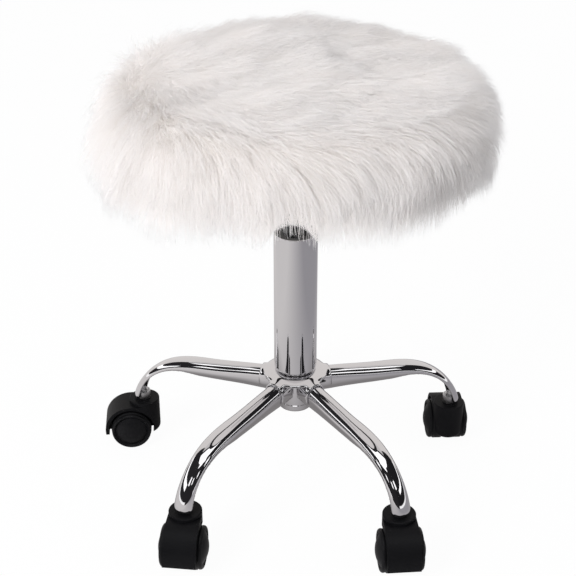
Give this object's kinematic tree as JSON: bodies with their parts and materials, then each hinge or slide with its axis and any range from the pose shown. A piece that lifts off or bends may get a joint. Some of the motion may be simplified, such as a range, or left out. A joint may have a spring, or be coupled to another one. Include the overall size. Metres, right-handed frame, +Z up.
{
  "type": "rolling vanity stool",
  "caption": "Round vanity stool with a long-fur cushion on a gas lift, over a chrome tube base with arched legs and hooded twin-wheel casters.",
  "frame": {"origin": "on the floor, under the column's axis", "axes": "+Z up along the column, +Y along the rear leg and away from the picture's camera, +X to that camera's right"},
  "size_m": [0.462, 0.4349, 0.5263],
  "materials": {
    "chrome": "polished chrome plate",
    "zinc_steel": "zinc plated",
    "bearing_steel": "ground steel",
    "black_paint": "satin black paint",
    "black_plastic": "fine texture",
    "black_nylon": "moulded, fine texture",
    "wheel_black": "moulded, satin",
    "plywood": "raw",
    "foam": "open cell foam",
    "white_fur": "long white faux fur",
    "black_felt": "non-woven"
  },
  "bodies": {
    "base": {"hub_tube": "chrome", "hub_cover": "chrome", "leg_right": "chrome", "leg_rear": "chrome", "leg_left": "chrome", "leg_front_left": "chrome", "leg_front_right": "chrome", "stem_sockets": "zinc_steel", "grip_rings": "zinc_steel", "column_tube": "chrome", "guide_bush": "black_plastic", "thrust_race_lower": "bearing_steel"},
    "lift_rod": {"piston_rod": "bearing_steel", "piston": "black_plastic", "thrust_race_upper": "bearing_steel", "rod_clip": "bearing_steel"},
    "bearing_balls": {"thrust_balls": "bearing_steel"},
    "seat": {"lift_cylinder": "black_paint", "rod_guide": "black_plastic", "seat_plate": "black_paint", "lever_housing": "black_paint", "taper_socket": "black_paint", "lever_pin": "zinc_steel", "plate_bolts": "zinc_steel", "tee_nuts": "zinc_steel", "seat_board": "plywood", "seat_foam": "foam", "fur_cover": "white_fur", "dust_cover": "black_felt"},
    "lever": {"release_lever": "black_paint", "lever_grip": "black_plastic"},
    "release_pin": {"release_pin": "bearing_steel"},
    "caster_right": {"caster_right_hood": "black_nylon", "caster_right_stem": "zinc_steel", "caster_right_axle": "zinc_steel"},
    "caster_right_wheel_left": {"caster_right_wheel_left": "wheel_black"},
    "caster_right_wheel_right": {"caster_right_wheel_right": "wheel_black"},
    "caster_rear": {"caster_rear_hood": "black_nylon", "caster_rear_stem": "zinc_steel", "caster_rear_axle": "zinc_steel"},
    "caster_rear_wheel_left": {"caster_rear_wheel_left": "wheel_black"},
    "caster_rear_wheel_right": {"caster_rear_wheel_right": "wheel_black"},
    "caster_left": {"caster_left_hood": "black_nylon", "caster_left_stem": "zinc_steel", "caster_left_axle": "zinc_steel"},
    "caster_left_wheel_left": {"caster_left_wheel_left": "wheel_black"},
    "caster_left_wheel_right": {"caster_left_wheel_right": "wheel_black"},
    "caster_front_left": {"caster_front_left_hood": "black_nylon", "caster_front_left_stem": "zinc_steel", "caster_front_left_axle": "zinc_steel"},
    "caster_front_left_wheel_left": {"caster_front_left_wheel_left": "wheel_black"},
    "caster_front_left_wheel_right": {"caster_front_left_wheel_right": "wheel_black"},
    "caster_front_right": {"caster_front_right_hood": "black_nylon", "caster_front_right_stem": "zinc_steel", "caster_front_right_axle": "zinc_steel"},
    "caster_front_right_wheel_left": {"caster_front_right_wheel_left": "wheel_black"},
    "caster_front_right_wheel_right": {"caster_front_right_wheel_right": "wheel_black"}
  },
  "joints": [
    {"name": "seat_swivel", "type": "hinge", "parent": "base", "child": "lift_rod", "pos_m": [0, 0, 0.113], "axis": [0, 0, 1], "continuous": true},
    {"name": "bearing_turn", "type": "hinge", "parent": "base", "child": "bearing_balls", "pos_m": [0, 0, 0.1075], "axis": [0, 0, 1], "continuous": true},
    {"name": "seat_lift", "type": "slide", "parent": "lift_rod", "child": "seat", "axis": [0, 0, 1], "range_m": [-0.05, 0.06]},
    {"name": "lever_tip", "type": "hinge", "parent": "seat", "child": "lever", "pos_m": [0.03, 0, 0.4294], "axis": [0, -1, 0], "range_deg": [0, 5], "stiffness_Nm_per_rad": 1.5, "springref_deg": -5.73},
    {"name": "pin_press", "type": "slide", "parent": "seat", "child": "release_pin", "axis": [0, 0, -1], "range_m": [0, 0.0027]},
    {"name": "caster_right_swivel", "type": "hinge", "parent": "base", "child": "caster_right", "pos_m": [0.19164, 0.06227, 0.062], "axis": [0, 0, 1], "continuous": true},
    {"name": "caster_right_wheel_left_roll", "type": "hinge", "parent": "caster_right", "child": "caster_right_wheel_left", "pos_m": [0.19042, 0.07972, 0.025], "axis": [-0.9976, -0.0698, 0], "continuous": true},
    {"name": "caster_right_wheel_right_roll", "type": "hinge", "parent": "caster_right", "child": "caster_right_wheel_right", "pos_m": [0.19042, 0.07972, 0.025], "axis": [-0.9976, -0.0698, 0], "continuous": true},
    {"name": "caster_rear_swivel", "type": "hinge", "parent": "base", "child": "caster_rear", "pos_m": [0, 0.2015, 0.062], "axis": [0, 0, 1], "continuous": true},
    {"name": "caster_rear_wheel_left_roll", "type": "hinge", "parent": "caster_rear", "child": "caster_rear_wheel_left", "pos_m": [0.0003, 0.184, 0.025], "axis": [0.9998, 0.0175, 0], "continuous": true},
    {"name": "caster_rear_wheel_right_roll", "type": "hinge", "parent": "caster_rear", "child": "caster_rear_wheel_right", "pos_m": [0.0003, 0.184, 0.025], "axis": [0.9998, 0.0175, 0], "continuous": true},
    {"name": "caster_left_swivel", "type": "hinge", "parent": "base", "child": "caster_left", "pos_m": [-0.19164, 0.06227, 0.062], "axis": [0, 0, 1], "continuous": true},
    {"name": "caster_left_wheel_left_roll", "type": "hinge", "parent": "caster_left", "child": "caster_left_wheel_left", "pos_m": [-0.20904, 0.06044, 0.025], "axis": [0.1045, -0.9945, 0], "continuous": true},
    {"name": "caster_left_wheel_right_roll", "type": "hinge", "parent": "caster_left", "child": "caster_left_wheel_right", "pos_m": [-0.20904, 0.06044, 0.025], "axis": [0.1045, -0.9945, 0], "continuous": true},
    {"name": "caster_front_left_swivel", "type": "hinge", "parent": "base", "child": "caster_front_left", "pos_m": [-0.11844, -0.16302, 0.062], "axis": [0, 0, 1], "continuous": true},
    {"name": "caster_front_left_wheel_left_roll", "type": "hinge", "parent": "caster_front_left", "child": "caster_front_left_wheel_left", "pos_m": [-0.11996, -0.18045, 0.025], "axis": [0.9962, -0.0872, 0], "continuous": true},
    {"name": "caster_front_left_wheel_right_roll", "type": "hinge", "parent": "caster_front_left", "child": "caster_front_left_wheel_right", "pos_m": [-0.11996, -0.18045, 0.025], "axis": [0.9962, -0.0872, 0], "continuous": true},
    {"name": "caster_front_right_swivel", "type": "hinge", "parent": "base", "child": "caster_front_right", "pos_m": [0.11844, -0.16302, 0.062], "axis": [0, 0, 1], "continuous": true},
    {"name": "caster_front_right_wheel_left_roll", "type": "hinge", "parent": "caster_front_right", "child": "caster_front_right_wheel_left", "pos_m": [0.12027, -0.18042, 0.025], "axis": [0.9945, 0.1045, 0], "continuous": true},
    {"name": "caster_front_right_wheel_right_roll", "type": "hinge", "parent": "caster_front_right", "child": "caster_front_right_wheel_right", "pos_m": [0.12027, -0.18042, 0.025], "axis": [0.9945, 0.1045, 0], "continuous": true}
  ],
  "couplings": [
    {"joint": "bearing_turn", "follows": "seat_swivel", "ratio": 0.5},
    {"joint": "pin_press", "follows": "lever_tip", "m_per_rad": 0.03}
  ]
}
